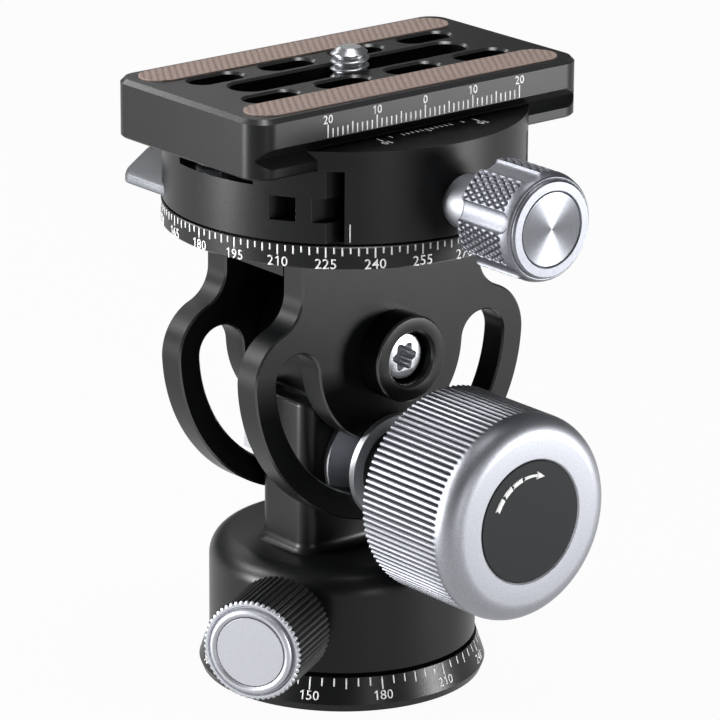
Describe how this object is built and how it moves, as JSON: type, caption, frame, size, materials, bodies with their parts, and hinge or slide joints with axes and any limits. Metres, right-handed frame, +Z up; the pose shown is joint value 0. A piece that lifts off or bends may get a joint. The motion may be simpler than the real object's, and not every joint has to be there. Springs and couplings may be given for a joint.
{
  "type": "two-way monopod head",
  "caption": "Monopod head with panning base, tilting forked yoke, panning knob clamp and sliding quick-release plate carrying a camera screw.",
  "frame": {"origin": "centre of the base's underside, at the mouth of the monopod socket, on the base's pan axis", "axes": "+Z up along the pan axes, X along the plate and its slide, knobs on the -Y side"},
  "size_m": [0.0722, 0.0866, 0.1069],
  "materials": {
    "black": "black anodised, satin",
    "silver": "clear anodised, satin",
    "steel": "turned stainless steel",
    "brass": "turned",
    "rubber": "moulded diamond grip",
    "glide": "black acetal",
    "disc": "matte black"
  },
  "bodies": {
    "base": {"base_ring": "black", "base_spindle": "steel", "base_ring_screws": "steel", "base_glide_ring": "glide", "base_spindle_nut": "steel"},
    "stem": {"stem_base": "black", "base_retainer": "steel", "base_retainer_screws": "steel", "friction_discs": "silver", "pivot_bushes": "brass", "tilt_stud": "steel", "tilt_rear_washer": "steel", "tilt_rear_nut": "steel"},
    "base_brake": {"base_brake_pad": "brass"},
    "base_lock_knob": {"base_knob": "black", "base_knob_disc": "silver", "base_lock_screw": "steel"},
    "tilt_thrust": {"tilt_washer": "steel"},
    "tilt_lock_knob": {"tilt_knob": "silver", "tilt_knob_disc": "disc", "tilt_knob_insert": "black"},
    "tilt_yoke": {"yoke": "black", "pivot_sleeve": "black", "pivot_screw": "steel", "pivot_rear_cap": "black", "degree_ring": "black", "yoke_screws": "steel", "pan_spindle": "steel", "pan_spindle_nut": "steel", "pan_spindle_screws": "steel", "pan_glide_ring": "glide"},
    "clamp": {"clamp_body": "black", "pan_retainer": "steel", "pan_retainer_screws": "steel", "jaw_springs": "steel", "lever_pivot_screw": "silver"},
    "lever": {"pan_lever": "silver"},
    "pan_brake": {"pan_brake_shoe": "brass"},
    "jaw": {"moving_jaw": "black", "jaw_guide_pins": "steel", "clamp_washer": "steel"},
    "jaw_knob": {"clamp_knob": "silver", "clamp_knob_disc": "silver", "clamp_screw": "steel"},
    "plate": {"qr_plate": "black", "front_grip_strip": "rubber", "rear_grip_strip": "rubber"},
    "screw_carrier": {"screw_clip": "steel"},
    "camera_bolt": {"camera_screw": "steel"}
  },
  "joints": [
    {"name": "base_pan", "type": "hinge", "parent": "base", "child": "stem", "pos_m": [0, 0, 0.006], "axis": [0, 0, 1], "continuous": true},
    {"name": "base_brake_slide", "type": "slide", "parent": "stem", "child": "base_brake", "axis": [-0.8788, -0.4772, 0], "range_m": [0, 0.001]},
    {"name": "base_knob_turn", "type": "hinge", "parent": "base_brake", "child": "base_lock_knob", "pos_m": [-0.02636, -0.01431, 0.0155], "axis": [-0.8788, -0.4772, 0], "range_deg": [0, 360]},
    {"name": "tilt_thrust_slide", "type": "slide", "parent": "stem", "child": "tilt_thrust", "axis": [0, -1, 0], "range_m": [0, 0.00125]},
    {"name": "tilt_knob_turn", "type": "hinge", "parent": "tilt_thrust", "child": "tilt_lock_knob", "pos_m": [0, -0.036, 0.038], "axis": [0, -1, 0], "range_deg": [0, 360]},
    {"name": "tilt", "type": "hinge", "parent": "stem", "child": "tilt_yoke", "pos_m": [0, 0, 0.0577], "axis": [0, 1, 0], "range_deg": [-85, 85]},
    {"name": "head_pan", "type": "hinge", "parent": "tilt_yoke", "child": "clamp", "pos_m": [0, 0, 0.082], "axis": [0, 0, 1], "continuous": true},
    {"name": "pan_lever_turn", "type": "hinge", "parent": "clamp", "child": "lever", "pos_m": [-0.024, 0.00231, 0.0835], "axis": [0, 0, -1], "range_deg": [0, 20]},
    {"name": "pan_brake_slide", "type": "slide", "parent": "clamp", "child": "pan_brake", "axis": [-0.9954, 0.0958, 0], "range_m": [0, 0.00025]},
    {"name": "jaw_slide", "type": "slide", "parent": "clamp", "child": "jaw", "axis": [0, -1, 0], "range_m": [0, 0.0035]},
    {"name": "clamp_knob_turn", "type": "hinge", "parent": "jaw", "child": "jaw_knob", "pos_m": [0, -0.045, 0.0874], "axis": [0, -1, 0], "range_deg": [0, 1260]},
    {"name": "plate_slide", "type": "slide", "parent": "clamp", "child": "plate", "axis": [1, 0, 0], "range_m": [-0.02, 0.02]},
    {"name": "camera_screw_slide", "type": "slide", "parent": "plate", "child": "screw_carrier", "axis": [1, 0, 0], "range_m": [-0.02, 0.02]},
    {"name": "camera_screw_turn", "type": "hinge", "parent": "screw_carrier", "child": "camera_bolt", "pos_m": [0, -0.0011, 0.09388], "axis": [0, 0, 1], "continuous": true}
  ],
  "couplings": [
    {"joint": "base_brake_slide", "follows": "base_knob_turn", "m_per_rad": 0.00015915},
    {"joint": "tilt_thrust_slide", "follows": "tilt_knob_turn", "m_per_rad": 0.00019894},
    {"joint": "jaw_slide", "follows": "clamp_knob_turn", "m_per_rad": 0.00015915},
    {"joint": "pan_brake_slide", "follows": "pan_lever_turn", "m_per_rad": 0.0007162}
  ]
}
